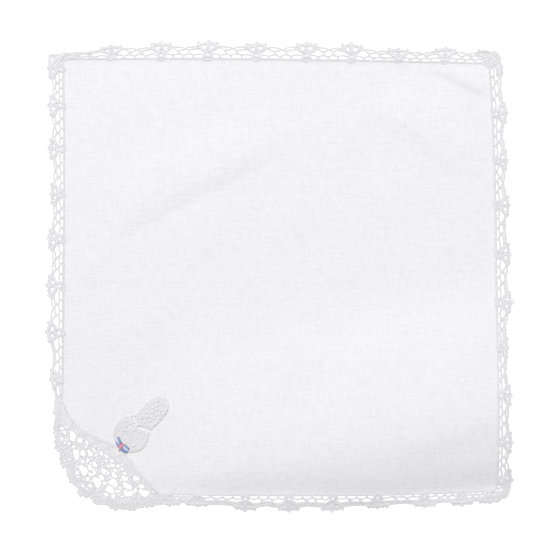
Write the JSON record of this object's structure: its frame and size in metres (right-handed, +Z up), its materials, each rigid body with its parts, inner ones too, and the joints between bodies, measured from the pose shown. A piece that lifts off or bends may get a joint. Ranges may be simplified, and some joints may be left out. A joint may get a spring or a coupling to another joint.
{
  "type": "lace handkerchief",
  "caption": "Square white cotton handkerchief lying flat, with a crocheted daisy edging, a crocheted fan in one corner and a small crochet motif sewn on above it.",
  "frame": {"origin": "on the table under the middle of the whole handkerchief", "axes": "+X to the right and +Y to the top of the cloth as it lies with the fan at the lower left, +Z up"},
  "size_m": [0.2894, 0.293, 0.0074],
  "materials": {
    "lawn": "fine plain-woven white cotton with small slubs, matte",
    "crochet": "white crocheted cotton thread, matte",
    "motif_crochet": "close white crochet of fine cotton thread, matte"
  },
  "bodies": {
    "root": {"cloth": "lawn", "edging_lace": "crochet", "corner_fan": "crochet", "crochet_motif": "motif_crochet"}
  },
  "joints": []
}
